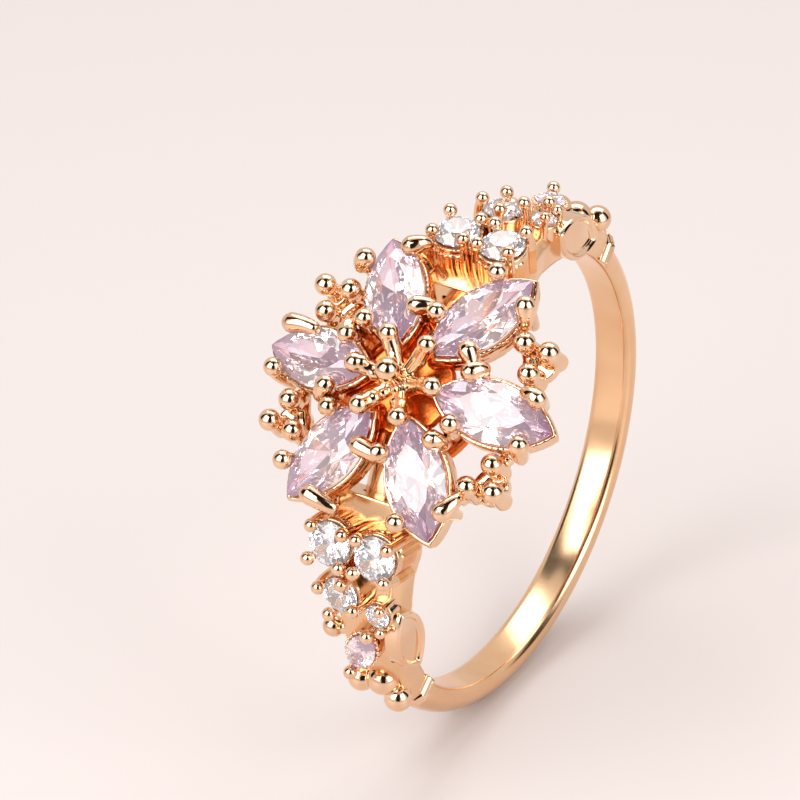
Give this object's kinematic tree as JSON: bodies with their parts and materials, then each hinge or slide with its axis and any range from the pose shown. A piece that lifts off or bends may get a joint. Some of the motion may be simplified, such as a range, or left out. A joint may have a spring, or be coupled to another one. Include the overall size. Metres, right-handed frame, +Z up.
{
  "type": "cocktail ring",
  "caption": "Flower cocktail ring: plain band, jewelled shoulders and a leaning head of pale lilac marquise petals with gold bead clusters.",
  "frame": {"origin": "centre of the finger hole, in the middle of the band's width", "axes": "+X along the finger, +Z up with the ring standing on its band, the flower facing forward (-Y) and leaning up by 46 degrees"},
  "size_m": [0.0128, 0.0224, 0.0224],
  "materials": {
    "rose_gold": "polished rose gold plating",
    "petal_stone": "faceted pale lilac cubic zirconia",
    "clear_stone": "faceted clear cubic zirconia"
  },
  "bodies": {
    "root": {"shank": "rose_gold", "gallery_left": "rose_gold", "gallery_right": "rose_gold", "centre_pistil": "rose_gold", "petal_collet_1": "rose_gold", "petal_collet_2": "rose_gold", "petal_collet_3": "rose_gold", "petal_collet_4": "rose_gold", "petal_collet_5": "rose_gold", "petal_collet_6": "rose_gold", "petal_stone_1": "petal_stone", "petal_stone_2": "petal_stone", "petal_stone_3": "petal_stone", "petal_stone_4": "petal_stone", "petal_stone_5": "petal_stone", "petal_stone_6": "petal_stone", "bead_cluster_1": "rose_gold", "bead_cluster_2": "rose_gold", "bead_cluster_3": "rose_gold", "bead_cluster_4": "rose_gold", "upper_shoulder": "rose_gold", "upper_twin_setting": "rose_gold", "upper_single_setting": "rose_gold", "upper_accent_setting": "rose_gold", "upper_leaf_setting": "rose_gold", "upper_leaf_guard": "rose_gold", "upper_side_ball": "rose_gold", "upper_end_beads": "rose_gold", "upper_collar": "rose_gold", "upper_twin_stone_left": "clear_stone", "upper_twin_stone_right": "clear_stone", "upper_single_stone": "clear_stone", "upper_accent_stone": "clear_stone", "upper_leaf_stone": "petal_stone", "lower_shoulder": "rose_gold", "lower_twin_setting": "rose_gold", "lower_single_setting": "rose_gold", "lower_accent_setting": "rose_gold", "lower_leaf_setting": "rose_gold", "lower_leaf_guard": "rose_gold", "lower_side_ball": "rose_gold", "lower_end_beads": "rose_gold", "lower_collar": "rose_gold", "lower_twin_stone_left": "clear_stone", "lower_twin_stone_right": "clear_stone", "lower_single_stone": "clear_stone", "lower_accent_stone": "clear_stone", "lower_leaf_stone": "petal_stone"}
  },
  "joints": []
}
